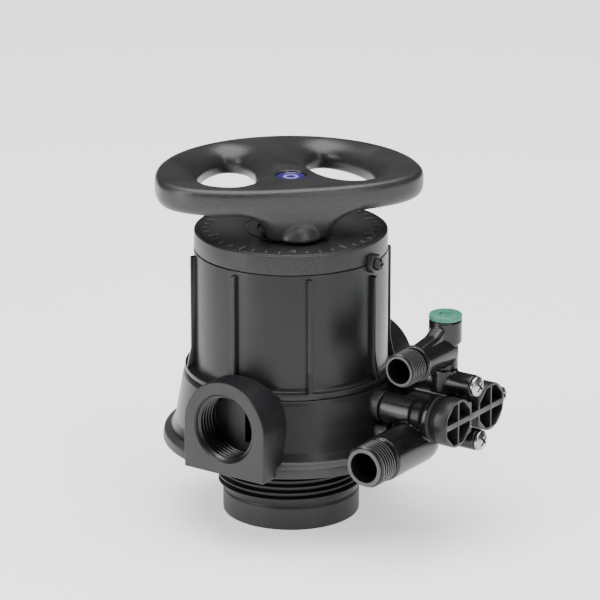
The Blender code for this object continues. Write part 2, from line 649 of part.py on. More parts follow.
def make_ejector_inside():
    low, high = EJECTOR_FLANGE_FACE - GAP, EJECTOR_FLANGE_FACE - 1.5
    outline = figure_eight(LOBE_R - 0.4, WAIST_HALF - 0.4)
    gasket = add_object("ejector_gasket", plate(outline, low, high), "rubber")
    hole = [(0, 87), (FLOW_BORE_R, 87), (FLOW_BORE_R, 91), (0, 91)]
    for x in (TUBE_A_X, TUBE_B_X):
        cut(gasket, along_y("gasket_hole", x, TUBE_Z, hole))
    inner = FLOW_BORE_R - 0.4
    nozzle = [(1.0, 68), (inner, 68), (inner, 71), (3.2, 72), (2.6, 77), (1.0, 77)]
    add_object("ejector_nozzle", lathe(nozzle, 16, closed=True), "white_plastic",
               (TUBE_B_X, 0, TUBE_Z), -Y)
    throat = lathe([(1.5, 77.6), (inner, 77.6), (inner, 87.5), (3.0, 87.5)], closed=True, sides=16)
    add_object("ejector_throat", throat, "white_plastic", (TUBE_B_X, 0, TUBE_Z), -Y)
    add_object("ejector_strainer", tube(3.6, inner, 74, 87, 16), "white_plastic", (TUBE_A_X, 0, TUBE_Z), -Y)
    for name, x, z, face in (("ejector_inlet_o_ring", TUBE_A_X, TUBE_Z, SOCKET_FACE),
                             ("ejector_outlet_o_ring", TUBE_B_X, TUBE_Z, SOCKET_FACE),
                             ("drain_o_ring", TUBE_A_X, DRAIN_SOCKET_Z, DRAIN_SOCKET_FACE)):
        add_object(name, torus(5.8, 0.75, 0.95), "rubber", (x, face, z), Y)
    control = tube(1.5, DRAIN_BORE_R - GAP, 16, 21)
    add_object("drain_flow_control", control, "rubber", (DRAIN_FACE, DRAIN_Y, DRAIN_Z), X)


def make_ejector_cover():
    back = EJECTOR_FLANGE_FACE - 1.8
    floor = back - 3.4
    outline = figure_eight(LOBE_R, WAIST_HALF)
    cover = add_object("ejector_cover", plate(outline, back, COVER_FRONT), "black_plastic")
    line = [(0, -floor), (LOBE_R - 2, -floor), (LOBE_R - 2, 102), (0, 102)]
    for x in (TUBE_A_X, TUBE_B_X):
        pocket = along_y("pocket", x, TUBE_Z, line, 24)
        cut(pocket, add_tool("level_rib", box((x - 14, -103, TUBE_Z - 1.6), (x + 14, -90, TUBE_Z + 1.6))),
            add_tool("upright_rib", box((x - 0.9, -103, TUBE_Z - 14), (x + 0.9, -90, TUBE_Z + 14))))
        cut(cover, pocket)
    waist_low, waist_high = TUBE_A_X + LOBE_R + 0.6, TUBE_B_X - LOBE_R - 0.6
    for side in (-1, 1):
        edges = sorted((TUBE_Z + side * 1.6, TUBE_Z + side * 12))
        cut(cover, add_tool("waist", box((waist_low, -103, edges[0]), (waist_high, floor, edges[1]))))
    return cover


def make_ejector_screws():
    for name, (x, z), face, length in (("ejector_screw_upper", UPPER_SCREW, -99.7, 44),
                                       ("ejector_screw_lower", LOWER_SCREW, -99.7, 43),
                                       ("ejector_screw_side", SIDE_SCREW, -94, 18)):
        head = SCREW_HEAD_R if length > 20 else 4.0
        line = [(0, -length), (SCREW_SHANK_R, -length), (SCREW_SHANK_R, GAP), (head, GAP), (head, 1.6),
                (head - 1, 2.6), (head - 3, 3.1), (0, 3.1)]
        screw = add_object(name, lathe(line, 16), "steel", (x, face, z), -Y)
        for turn in (0, 90):
            blade = add_tool("recess", box((-2.6, -0.5, 1.6), (2.6, 0.5, 4)), (x, face, z), -Y)
            blade.rotation_quaternion = Z.rotation_difference(-Y) @ Quaternion(Z, math.radians(45 + turn))
            cut(screw, blade)


def make_brine_elbow():
    line = [(0, 83.3), (4.1, 83.3), (4.1, 84), (3, 84), (3, 85.4), (4.1, 85.4), (4.1, 86.3),
            (TOWER_R, 86.3), (TOWER_R, TOWER_STEP), (TOWER_TOP_R, TOWER_STEP + 0.8),
            (TOWER_TOP_R, TOWER_TOP), (0, TOWER_TOP)]
    elbow = add_object("brine_elbow", lathe(line, 18), "black_plastic", (TOWER_X, TOWER_Y, 0))
    reach = TOWER_X - 0.4 - BRINE_FACE
    branch = [(0, 0), (7.6, 0), (7.2, reach - 15), (9.3, reach - 14.6), (9.3, reach - 12.6),
              (BRINE_THREAD_R, reach - 12.3), (BRINE_THREAD_R, reach - 0.7),
              (BRINE_THREAD_R - 0.7, reach), (0, reach)]
    gusset = [(TOWER_X + 1.3, 109.3), (TOWER_X - 7.5, 108), (BRINE_FACE + 13.5, 104.2),
              (BRINE_FACE + 13.5, BRINE_Z + 1.7), (TOWER_X + 1.3, BRINE_Z + 1.7)]
    fuse(elbow, add_tool("branch", lathe(branch, 20), (TOWER_X - 0.4, TOWER_Y, BRINE_Z), -X),
         add_tool("gusset", plate(gusset, TOWER_Y - 3, TOWER_Y + 3)))
    cut(elbow, add_tool("branch_bore", rod(BRINE_BORE_R, 6, reach + 1), (TOWER_X, TOWER_Y, BRINE_Z), -X),
        add_tool("tower_top_bore", rod(5.6, 93, 113), (TOWER_X, TOWER_Y, 0)),
        add_tool("tower_low_bore", rod(2.4, 82, 95, 12), (TOWER_X, TOWER_Y, 0)))
    cap = lathe([(0, 106), (5.2, 106), (5.2, TOWER_TOP + GAP), (TOWER_TOP_R, TOWER_TOP + GAP),
                 (TOWER_TOP_R, 113.3), (TOWER_TOP_R - 0.5, 113.8), (2.4, 113.8), (1.8, 113.1),
                 (0, 113.1)], 24)
    add_object("brine_cap", cap, "green_plastic", (TOWER_X, TOWER_Y, 0))
    add_object("brine_o_ring", torus(3.7, 0.5, 84.7, 14), "rubber", (TOWER_X, TOWER_Y, 0))
    add_object("brine_flow_control", tube(1.2, BRINE_BORE_R - GAP, reach - 18, reach - 14), "rubber",
               (TOWER_X, TOWER_Y, BRINE_Z), -X)


def main():
    clear_scene()
    make_valve_body()
    make_base_seals()
    make_disc_stack()
    make_drive_shaft()
    make_bonnet()
    make_dial_lid()
    make_handwheel()
    make_wheel_fittings()
    make_ejector_body()
    make_ejector_inside()
    make_ejector_cover()
    make_ejector_screws()
    make_brine_elbow()


main()
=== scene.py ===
"""Looks of the manual control valve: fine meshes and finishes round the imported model.

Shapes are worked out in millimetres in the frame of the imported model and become
metres in add_mesh.
"""
import json
import math

import bmesh
import bpy
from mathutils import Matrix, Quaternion, Vector


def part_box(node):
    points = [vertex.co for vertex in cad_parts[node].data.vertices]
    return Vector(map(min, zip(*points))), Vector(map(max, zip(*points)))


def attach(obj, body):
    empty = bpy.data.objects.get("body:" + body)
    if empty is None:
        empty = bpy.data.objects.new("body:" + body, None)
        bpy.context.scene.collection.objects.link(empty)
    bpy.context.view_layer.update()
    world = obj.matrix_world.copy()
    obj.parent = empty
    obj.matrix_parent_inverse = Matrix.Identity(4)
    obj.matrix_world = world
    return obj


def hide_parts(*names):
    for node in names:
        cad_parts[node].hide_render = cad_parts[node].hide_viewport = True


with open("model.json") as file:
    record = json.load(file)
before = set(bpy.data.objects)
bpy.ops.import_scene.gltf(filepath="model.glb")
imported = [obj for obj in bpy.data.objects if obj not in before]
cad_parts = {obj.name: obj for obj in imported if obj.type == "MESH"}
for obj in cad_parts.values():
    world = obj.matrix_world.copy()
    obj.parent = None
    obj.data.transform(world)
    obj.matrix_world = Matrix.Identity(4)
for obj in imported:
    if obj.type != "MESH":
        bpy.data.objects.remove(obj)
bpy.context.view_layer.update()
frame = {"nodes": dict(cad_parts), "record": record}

MM = 0.001                     # metres in a millimetre
X, Y, Z = Vector((1, 0, 0)), Vector((0, 1, 0)), Vector((0, 0, 1))
POINTER = Vector((-math.sqrt(0.5), -math.sqrt(0.5), 0.0))    # the way the handwheel's nose points
SIDE = Vector((math.sqrt(0.5), -math.sqrt(0.5), 0.0))

ROUND, FINE_ROUND = 128, 160   # facets of the large turned pieces
SMALL_ROUND = 48               # facets of tubes and screws
ARC_STEPS = 4                  # steps on a rounded corner
FACET_TURN = 0.37              # share of a facet that keeps turned points off the main planes


def node_box(node):
    """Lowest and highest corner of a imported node, in millimetres."""
    low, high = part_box(node)
    return low / MM, high / MM


PORT_FACE = node_box("valve_body")[1].x        # distance of both port faces from the axis
PORT_START = 50.0                              # where the bores of the ports begin
PORT_Y, PORT_Z = -6.0, 62.0
PORT_ARCH_R, PORT_BORE_R = 23.5, 16.6
COLLAR_BORE_R, TANK_ROOT_R = 30.0, 34.0
SOCKET_FACE = 58.0                             # how far the body's ejector sockets stand out

BONNET_WALL_R = 47.7
SEAM = 136.0                                   # where the bonnet ends and the lid begins
LID_R, LID_TOP = 47.5, node_box("dial_lid")[1].z
MARK_RISE, MARK_SINK = 0.35, 0.5               # the dial's marks above and below the lid's top
NUMERALS, NUMERAL_R, NUMERAL_SIZE = 5, 40.2, 7.0
TICKS, TICK_END_R, TICK_HALF_WIDTH = 40, 43.4, 0.4
LOCK_Z = 136.15                                # height of the lock screw's axis

HUB_BOTTOM, WHEEL_TOP = (corner.z for corner in node_box("handwheel"))
WHEEL_BOTTOM = WHEEL_TOP - 14.0
WHEEL_MIDDLE = -3.0                            # the rim's centre, towards the nose
WHEEL_FRONT, WHEEL_BACK, WHEEL_HALF_WIDTH = 33.0, 65.0, 66.0
WHEEL_POWER = 2.4                              # how square the front of the rim is
BALL_TRACK_R = 14.0
BADGE_R = 7.3

TUBE_A_X, TUBE_B_X, TUBE_Z = -3.0, 26.6, 65.2
COVER_MIDDLE = (TUBE_A_X + TUBE_B_X) / 2
LOBE_R = 12.0
UPPER_SCREW, LOWER_SCREW, SIDE_SCREW = (12.0, 80.0), (16.0, 51.0), (43.8, 65.2)
LONG_BOSS_R, SIDE_BOSS_R, BOSS_END, SIDE_BOSS_END = 5.4, 4.2, 99.7, 94.0
TOWER_X, TOWER_Y = 12.0, -82.4
BRINE_Z, BRINE_MOUTH_X, BRINE_BORE_R = 95.9, -29.5, 6.3
DRAIN_Y, DRAIN_Z, DRAIN_MOUTH_X, DRAIN_BORE_R = -75.0, 51.0, -48.0, 7.5
DRAIN_ARM_Z = 50.5
CAP_TOP = node_box("brine_cap")[1].z

# root radius, crest radius and pitch of each thread
PORT_THREAD = (PORT_BORE_R, 15.1, 2.309)
TANK_THREAD = (TANK_ROOT_R, 36.5, 3.175)
DRAIN_THREAD = (9.4, 10.48, 1.814)
BRINE_THREAD = (7.4, 8.33, 1.337)

PHOTO_AZIMUTH, PHOTO_ELEVATION = math.radians(-55.5), math.radians(19.0)


# ---------------------------------------------------------------- shapes

def add_mesh(name, shape, at=(0, 0, 0), along=Z, spin=0.0):
    """A mesh object from (points, faces), its local +Z laid along a direction."""
    points, faces = shape
    mesh = bpy.data.meshes.new(name)
    turn = Quaternion(X, math.pi) if along == -Z else Z.rotation_difference(along)
    turn = turn @ Quaternion(Z, math.radians(spin))
    place = Vector(at)
    mesh.from_pydata([(turn @ Vector(point) + place) * MM for point in points], [], faces)
    work = bmesh.new()
    work.from_mesh(mesh)
    bmesh.ops.recalc_face_normals(work, faces=work.faces)
    if work.calc_volume(signed=True) < 0:
        bmesh.ops.reverse_faces(work, faces=work.faces)
    work.to_mesh(mesh)
    work.free()
    obj = bpy.data.objects.new(name, mesh)
    bpy.context.scene.collection.objects.link(obj)
    return obj


def apply_modifiers(obj):
    """Replace an object's mesh with what its modifiers make of it."""
    bpy.context.view_layer.update()
    evaluated = obj.evaluated_get(bpy.context.evaluated_depsgraph_get())
    mesh = bpy.data.meshes.new_from_object(evaluated)
    obj.modifiers.clear()
    old = obj.data
    obj.data = mesh
    bpy.data.meshes.remove(old)
    return obj


def combine(obj, operation, tools):
    """Boolean with each tool in turn; the tools are used up."""
    for tool in tools:
        step = obj.modifiers.new("step", "BOOLEAN")
        step.operation = operation
        step.solver = "EXACT"
        step.object = tool
        apply_modifiers(obj)
        bpy.data.objects.remove(tool, do_unlink=True)
    return obj


def fuse(obj, *tools):
    return combine(obj, "UNION", tools)


def cut(obj, *tools):
    return combine(obj, "DIFFERENCE", tools)


def soften(obj, voxel, passes):
    """Give a joined moulding the even, rounded corners of a moulded part."""
    remesh = obj.modifiers.new("remesh", "REMESH")
    remesh.mode = "VOXEL"
    remesh.voxel_size = voxel * MM
    smooth = obj.modifiers.new("smooth", "SMOOTH")
    smooth.factor = 0.5
    smooth.iterations = passes
    return apply_modifiers(obj)


def shade(obj, angle=32):
    """Smooth shading, with edges sharper than an angle in degrees kept."""
    obj.data.shade_smooth()
    obj.data.set_sharp_from_angle(angle=math.radians(angle))
    return obj


def rounded(corners, closed=False, steps=ARC_STEPS):
    """Line through (a, b, fillet radius) corners, with each corner rounded."""
    line = []
    count = len(corners)
    for i, corner in enumerate(corners):
        point = Vector(corner[:2])
        radius = corner[2] if len(corner) > 2 else 0
        if radius == 0 or (not closed and i in (0, count - 1)):
            line.append(tuple(point))
            continue
        back = Vector(corners[i - 1][:2]) - point
        ahead = Vector(corners[(i + 1) % count][:2]) - point
        half = back.angle(ahead) / 2
        reach = min(radius / math.tan(half), 0.48 * back.length, 0.48 * ahead.length)
        start, end = point + back.normalized() * reach, point + ahead.normalized() * reach
        for step in range(steps + 1):
            t = step / steps
            line.append(tuple((1 - t) ** 2 * start + 2 * t * (1 - t) * point + t * t * end))
    return line


def lathe(profile, sides=ROUND, closed=False):
    """Turn (radius, height) points about Z; a point on the axis becomes a pole."""
    points, rings, faces = [], [], []
    for radius, height in profile:
        if radius < 1e-6:
            rings.append([len(points)])
            points.append((0, 0, height))
            continue
        rings.append(list(range(len(points), len(points) + sides)))
        for step in range(sides):
            angle = math.tau * (step + FACET_TURN) / sides
            points.append((radius * math.cos(angle), radius * math.sin(angle), height))
    nexts = rings[1:] + (rings[:1] if closed else [])
    for low, high in zip(rings, nexts):
        for one in range(sides):
            two = (one + 1) % sides
            if len(low) == 1:
                faces.append((low[0], high[two], high[one]))
            elif len(high) == 1:
                faces.append((low[one], low[two], high[0]))
            else:
                faces.append((low[one], low[two], high[two], high[one]))
    return points, faces


def rod(radius, start, end, sides=SMALL_ROUND):
    return lathe([(0, start), (radius, start), (radius, end), (0, end)], sides)


def box(low, high):
    (x0, y0, z0), (x1, y1, z1) = low, high
    points = [(x, y, z) for z in (z0, z1) for x, y in ((x0, y0), (x1, y0), (x1, y1), (x0, y1))]
    faces = [(3, 2, 1, 0), (4, 5, 6, 7)]
    faces += [(i, (i + 1) % 4, 4 + (i + 1) % 4, 4 + i) for i in range(4)]
    return points, faces


def loft(sections):
    """Skin between rings of 3-D points, with a flat face on each end."""
    count = len(sections[0])
    points = [tuple(point) for section in sections for point in section]
    faces = [tuple(range(count))[::-1], tuple(range(len(points) - count, len(points)))]
    for level in range(len(sections) - 1):
        low = level * count
        for one in range(count):
            two = (one + 1) % count
            faces.append((low + one, low + two, low + count + two, low + count + one))
    return points, faces


def arc(centre, radius, start, end, steps):
    angles = [math.radians(start + (end - start) * i / steps) for i in range(steps + 1)]
    return [(centre[0] + radius * math.cos(a), centre[1] + radius * math.sin(a)) for a in angles]


def smooth_loop(corners, steps):
    """A closed Catmull-Rom curve through a few points."""
    count = len(corners)
    loop = []
    for i in range(count):
        a, b, c, d = (Vector(corners[(i + k - 1) % count]) for k in range(4))
        for step in range(steps):
            t = step / steps
            loop.append(0.5 * (2 * b + (c - a) * t + (2 * a - 5 * b + 4 * c - d) * t * t
                               + (3 * b - a - 3 * c + d) * t ** 3))
    return loop


def offset(outline, distance):
    """Move an anticlockwise outline outwards, point by point."""
    count = len(outline)
    moved = []
    for i, point in enumerate(outline):
        ahead = Vector(outline[(i + 1) % count]) - Vector(outline[i - 1])
        moved.append(Vector(point) + Vector((ahead.y, -ahead.x)).normalized() * distance)
    return moved


def rounded_end(end, radius, steps=5):
    """Levels (height, inset) that round the last rim of a block."""
    quarter = [math.pi / 2 * i / steps for i in range(steps + 1)]
    return [(end - radius * (1 - math.sin(a)), -radius * (1 - math.cos(a))) for a in quarter]


def plate(outline, levels):
    """An (x, z) outline drawn out along Y, with (y, inset) levels."""
    return loft([[(x, y, z) for x, z in offset(outline, out)] for y, out in levels])


def along_y(name, x, z, corners, sides=SMALL_ROUND):
    """A turned shape whose profile heights are distances in front of the valve axis."""
    return add_mesh(name, lathe(rounded(corners), sides), (x, 0, z), -Y)


def thread(sizes, start, end, per_turn=64, fill=0.40, flat_share=0.08):
    """One closed helical ridge; a crest smaller than the root makes an inner thread."""
    root, crest, pitch = sizes
    turns = (end - start) / pitch
    count = int(turns * per_turn)
    sink = math.copysign(0.25, root - crest)
    sections = []
    for step in range(count + 1):
        share = step / count
        taper = min(1.0, share * turns * 2.5 + 0.03, (1 - share) * turns * 2.5 + 0.03)
        angle = math.tau * step / per_turn
        height = start + (end - start) * share
        tip = root + (crest - root) * taper
        half = pitch * fill * taper
        flat = pitch * flat_share * taper
        line = [(root + sink, -half), (tip, -flat), (tip, flat), (root + sink, half)]
        sections.append([(r * math.cos(angle), r * math.sin(angle), height + h) for r, h in line])
    return loft(sections)


def join(obj, *others):
    """Put closed shapes that meet into one piece."""
    work = bmesh.new()
    work.from_mesh(obj.data)
    for other in others:
        work.from_mesh(other.data)
    work.to_mesh(obj.data)
    work.free()
    for other in others:
        bpy.data.objects.remove(other, do_unlink=True)
    return obj


def paint(obj, *materials, pick=None):
    """Give a mesh its finishes; pick says which one a face gets."""
    obj.data.materials.clear()
    for material in materials:
        obj.data.materials.append(material)
    if pick:
        for face in obj.data.polygons:
            face.material_index = int(pick(face))


def finish_piece(obj, body, node, material, angle=32):
    """Shade a piece, give it one finish (None keeps what it has), hang it on its body and hide the
    imported part.
    """
    shade(obj, angle)
    if material:
        paint(obj, material)
    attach(obj, body)
    if node:
        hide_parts(node)
    return obj


def threaded_spout(name, bore, sizes, length, place, threaded):
    """Outlet with a male thread: pale grey end face and crests, the crests a painted highlight
    against flanks, grooves and bore painted black as painted shade.

    It runs from its mouth at place along X, and the thread ends after the length threaded.
    """
    root, _, pitch = sizes
    line = rounded([(bore, 0, 0.3), (root, 0, 0.4), (root, length, 0.1), (bore, length, 0.1)],
                   closed=True)
    spout = add_mesh(name, lathe(line, 72, closed=True), place, X)
    turns = thread(sizes, 0.6 * pitch, threaded, fill=0.44, flat_share=0.19)
    ridge = add_mesh("ridge", turns, place, X)

    def at_mouth(face):
        end_face_depth = 0.45
        return face.center.x / MM < place[0] + end_face_depth

    # painted shade: the bore and the grooves' floor are black; only the end face keeps the thread's
    # pale grey
    paint(spout, GLOSS_BLACK, THREAD_GREY, pick=at_mouth)
    # painted highlight and shade: crests, facing out from the axis, are pale grey and flanks are
    # black, whatever the lamps
    paint(ridge, GLOSS_BLACK, THREAD_GREY,
          pick=lambda face: at_mouth(face) or abs(face.normal.x) < 0.4)
    join(spout, ridge)
    return finish_piece(spout, "valve", None, None, 25)


# ---------------------------------------------------------------- finishes

CLOUD_SHARE = 0.35             # how much of the colour change is slow clouds, not fine grain


def moulded(name, colour, lighter, roughness, grain, bump, specular=0.5):
    """Moulded plastic: fine grain in the surface, soft colour clouds and uneven gloss."""
    material = bpy.data.materials.new(name)
    material.use_nodes = True
    nodes, links = material.node_tree.nodes, material.node_tree.links
    shader = nodes["Principled BSDF"]
    shader.inputs["Specular IOR Level"].default_value = specular

    def node(kind, **values):
        made = nodes.new("ShaderNode" + kind)
        for socket, value in values.items():
            made.inputs[socket.replace("_", " ")].default_value = value
        return made

    place = node("TexCoord")
    fine = node("TexNoise", Scale=grain, Detail=3.0, Roughness=0.65)
    clouds = node("TexNoise", Scale=38.0, Detail=5.0, Distortion=0.6)
    for texture in (fine, clouds):
        links.new(place.outputs["Object"], texture.inputs["Vector"])
    blend, part = node("Math"), node("Math")
    blend.operation, part.operation = "MULTIPLY_ADD", "MULTIPLY"
    blend.inputs[1].default_value = 1.0 - CLOUD_SHARE
    part.inputs[1].default_value = CLOUD_SHARE
    links.new(fine.outputs["Fac"], blend.inputs[0])
    links.new(clouds.outputs["Fac"], part.inputs[0])
    links.new(part.outputs["Value"], blend.inputs[2])
    ramp = node("ValToRGB")
    for element, position, tint in zip(ramp.color_ramp.elements, (0.36, 0.66), (colour, lighter)):
        element.position = position
        element.color = (*tint, 1)
    links.new(blend.outputs["Value"], ramp.inputs["Fac"])
    links.new(ramp.outputs["Color"], shader.inputs["Base Color"])
    gloss = node("MapRange", From_Min=0.3, From_Max=0.7,
                 To_Min=roughness - 0.03, To_Max=roughness + 0.06)
    links.new(clouds.outputs["Fac"], gloss.inputs["Value"])
    links.new(gloss.outputs["Result"], shader.inputs["Roughness"])
    relief = node("Bump", Strength=bump, Distance=0.0002)
    links.new(fine.outputs["Fac"], relief.inputs["Height"])
    links.new(relief.outputs["Normal"], shader.inputs["Normal"])
    return material


def bright_steel():
    """Screw steel, slightly dulled."""
    material = moulded("bright_steel", (0.27, 0.27, 0.27), (0.52, 0.52, 0.51), 0.27, 900.0, 0.25)
    material.node_tree.nodes["Principled BSDF"].inputs["Metallic"].default_value = 1.0
    return material


def badge_finish():
    """Glossy disc in plain rings of purple and pale blue round its middle."""
    material = bpy.data.materials.new("badge_gloss")
    material.use_nodes = True
    nodes, links = material.node_tree.nodes, material.node_tree.links
    shader = nodes["Principled BSDF"]
    shader.inputs["Roughness"].default_value = 0.18
    shader.inputs["Coat Weight"].default_value = 0.6
    place = nodes.new("ShaderNodeTexCoord")
    waves = nodes.new("ShaderNodeTexWave")
    waves.wave_type = "RINGS"
    waves.rings_direction = "Z"
    waves.inputs["Scale"].default_value = 52.0
    waves.inputs["Distortion"].default_value = 0.4
    links.new(place.outputs["Object"], waves.inputs["Vector"])
    ramp = nodes.new("ShaderNodeValToRGB")
    ramp.color_ramp.elements[0].position = 0.72
    ramp.color_ramp.elements[0].color = (0.022, 0.012, 0.155, 1)
    ramp.color_ramp.elements[1].position = 0.97
    ramp.color_ramp.elements[1].color = (0.30, 0.28, 0.58, 1)
    links.new(waves.outputs["Fac"], ramp.inputs["Fac"])
    links.new(ramp.outputs["Color"], shader.inputs["Base Color"])
    return material


# darker colour, lighter colour, roughness, grain per metre, bump strength, specular level
BODY_BLACK = moulded("body_black", (0.006, 0.006, 0.007), (0.017, 0.017, 0.019),
                     0.30, 2300.0, 0.30, specular=0.34)
GLOSS_BLACK = moulded("gloss_black", (0.004, 0.004, 0.005), (0.011, 0.011, 0.012),
                      0.20, 2600.0, 0.18, specular=0.42)
WHEEL_GREY = moulded("wheel_grey", (0.012, 0.012, 0.013), (0.034, 0.034, 0.035),
                     0.31, 1500.0, 0.45, specular=0.46)
LID_GREY = moulded("lid_grey", (0.007, 0.007, 0.008), (0.029, 0.029, 0.031),
                   0.33, 1200.0, 0.6, specular=0.34)
MARK_GREY = moulded("mark_grey", (0.050, 0.050, 0.052), (0.110, 0.110, 0.115),
                    0.34, 1500.0, 0.3)
THREAD_GREY = moulded("thread_grey", (0.045, 0.045, 0.046), (0.095, 0.095, 0.098),
                      0.34, 1800.0, 0.15, specular=0.4)
COLLAR_GREY = moulded("collar_grey", (0.020, 0.020, 0.021), (0.044, 0.044, 0.046),
                      0.44, 1700.0, 0.5, specular=0.3)
GREEN = moulded("cap_green", (0.030, 0.150, 0.100), (0.085, 0.265, 0.195),
                0.42, 520.0, 0.35, specular=0.3)
RUBBER = moulded("seal_rubber", (0.008, 0.008, 0.008), (0.020, 0.020, 0.020),
                 0.70, 1600.0, 0.4)
WHITE = moulded("white_plastic", (0.62, 0.61, 0.57), (0.78, 0.77, 0.73),
                0.42, 1200.0, 0.2)
CERAMIC = moulded("white_ceramic", (0.72, 0.71, 0.67), (0.86, 0.85, 0.82),
                  0.20, 1600.0, 0.08)
STEEL = bright_steel()
BADGE = badge_finish()


# ---------------------------------------------------------------- valve body

def body_profile():
    """Half section of the body, from the riser bore round the outside to the disc seat."""
    return rounded([
        (0, 44), (13.4, 44, 0.6), (13.4, 12, 0.2), (16, 12, 0.2), (16, 8, 0.2), (13.4, 8, 0.2),
        (13.4, 3, 0.8), (17.8, 3, 0.8), (17.8, 40, 1.5), (COLLAR_BORE_R, 40, 1.5),
        (COLLAR_BORE_R, 0, 0.6), (34, 0, 0.9), (34, 11, 0.5), (TANK_ROOT_R - 0.8, 12.2, 0.6),
        (TANK_ROOT_R, 14.0, 0.5), (TANK_ROOT_R, 31, 0.8), (33.2, 32, 0.6), (33.2, 38, 0.6),
        (63.7, 38, 0.9), (63.1, 43, 1.8), (59.2, 44.6, 2.6), (57.4, 49, 3.0), (53.3, 72, 1.2),
        (52.2, 74, 0.8), (45, 74, 0.6), (45, 56, 2.0), (36, 56, 1.5), (36, 66, 0.5), (0, 66)])


def arch_outline(arch_r, bottom, steps=40):
    """Arched block outline in (y, z), anticlockwise, with its two lower corners rounded."""
    low = PORT_Z - 6
    legs = rounded([(PORT_Y + arch_r, low), (PORT_Y + arch_r, bottom, 1.0),
                    (PORT_Y - arch_r, bottom, 1.0), (PORT_Y - arch_r, low)])
    return arc((PORT_Y, PORT_Z), arch_r, 0, 180, steps) + list(reversed(legs))


def port_block(side):
    """Arched block of a port, its outer rim rounded."""
    outline = arch_outline(PORT_ARCH_R, 38.2)
    levels = [(47.0, 0.0)] + rounded_end(PORT_FACE, 0.9)
    rings = [[(side * x, y, z) for y, z in offset(outline, out)] for x, out in levels]
    return add_mesh("block", loft(rings))


def port_bore(side):
    """Bore of a port with a wider, chamfered mouth."""
    line = rounded([(0, 0), (PORT_BORE_R, 0, 0.5), (PORT_BORE_R, 15.7, 0.2), (17.5, 16.6, 0.2),
                    (17.5, 20), (0, 20)])
    return add_mesh("bore", lathe(line, 96), (side * PORT_START, PORT_Y, PORT_Z), side * X)


def matt_grey_and_flange_highlight(face):
    """Faces of the body with the matt grey finish: port faces and collar, and the flange's rim as a
    painted highlight.
    """
    middle = face.center / MM
    reach = math.hypot(middle.x, middle.y)
    from_port = math.hypot(middle.y - PORT_Y, middle.z - PORT_Z)
    port_face = abs(middle.x) > PORT_FACE - 0.35 and from_port < 40
    collar = middle.z < 11.8 and reach > 33
    # painted highlight: the flange's outer rim is painted matt grey where light catches it
    flange_highlight = 38.5 < middle.z < 44.4 and 59 < reach < 64 and abs(middle.y - PORT_Y) > 24
    return port_face or collar or flange_highlight


def make_valve_body():
    body = add_mesh("body_shell", lathe(body_profile(), FINE_ROUND))
    fuse(body, port_block(-1), port_block(1))
    cut(body, add_mesh("room", rod(53.0, 74.1, 100, 128)))
    # x, z, start, end and radius of each socket on the body's front
    for x, z, start, end, radius in ((TUBE_A_X, TUBE_Z, 50, SOCKET_FACE, 7.8),
                                     (TUBE_B_X, TUBE_Z, 43, SOCKET_FACE, 7.8),
                                     (TUBE_A_X, DRAIN_ARM_Z, 50, 62, 8.0),
                                     (*LOWER_SCREW, 48, 62, LONG_BOSS_R),
                                     (*UPPER_SCREW, 53.6, SOCKET_FACE, LONG_BOSS_R)):
        fuse(body, along_y("socket", x, z, [(0, start), (radius, start), (radius, end, 0.5),
                                            (0, end)]))
    fuse(body, add_mesh("lug", box((8, -57.8, 62), (16, -50, 73.7))),
         add_mesh("lug_neck", box((8.2, -57.6, 73), (15.8, -53.9, 78))))
    cut(body, port_bore(-1), port_bore(1))
    cut(body, add_mesh("inlet_passage", box((-51, PORT_Y - 13, 51), (-36, PORT_Y - 1.3, 73))),
        add_mesh("outlet_passage", box((38, PORT_Y - 7.4, 46.3), (51, PORT_Y + 7.4, 54.3))))
    finish_piece(body, "valve", "valve_body", None)
    # matt grey port faces and collar, with a painted highlight on the flange's rim
    paint(body, BODY_BLACK, COLLAR_GREY, pick=matt_grey_and_flange_highlight)
    for side, name in ((-1, "inlet_thread"), (1, "outlet_thread")):
        place = (side * PORT_START, PORT_Y, PORT_Z)
        ridge = add_mesh(name, thread(PORT_THREAD, 1.6, 15.4), place, side * X)
        finish_piece(ridge, "valve", None, GLOSS_BLACK, 25)
    tank = add_mesh("tank_thread", thread(TANK_THREAD, 15.0, 30.5, 96))
    finish_piece(tank, "valve", None, BODY_BLACK, 25)


# ---------------------------------------------------------------- bonnet and lid

def rib(angle, top):
    """One upright rib, flared at its foot, with soft edges."""
    outline = rounded([(46.4, 76.2), (52.2, 76.2, 0.6), (51.4, 80, 3.0), (50, 87, 4.0),
                       (50, top, 0.8), (46.4, top)])
    levels = [(-1.2, -0.3), (-1.1, -0.1), (-0.85, 0), (0.85, 0), (1.1, -0.1), (1.2, -0.3)]
    rings = [[(x, -h, z) for x, z in offset(outline, out)] for h, out in levels]
    return add_mesh("rib", loft(rings), spin=angle)


def make_bonnet():
    line = rounded([
        (40, 66.3, 0.4), (44.5, 66.3, 0.4), (44.5, 68.4, 0.1), (42.4, 68.4, 0.1),
        (42.4, 71.4, 0.1), (44.5, 71.4, 0.1), (44.5, 74.3, 0.2), (52.4, 74.3, 0.5),
        (52.4, 77, 0.7), (48.4, 77.2, 0.9), (BONNET_WALL_R, 79, 0.9), (BONNET_WALL_R, SEAM, 0.35),
        (9.8, SEAM, 0.3), (9.8, 89.5, 0.3), (14, 89.5, 0.5), (14, 129, 1.5), (43.5, 129, 2.0),
        (43.5, 81, 1.0), (40, 78, 1.0)], closed=True)
    bonnet = add_mesh("bonnet_shell", lathe(line, FINE_ROUND, closed=True))
    for angle in range(180, 540, 45):
        # the rib under the lid's tab stops short of it
        fuse(bonnet, rib(angle, 129.8 if angle == 270 else 134.0))
    finish_piece(bonnet, "valve", "bonnet", BODY_BLACK)


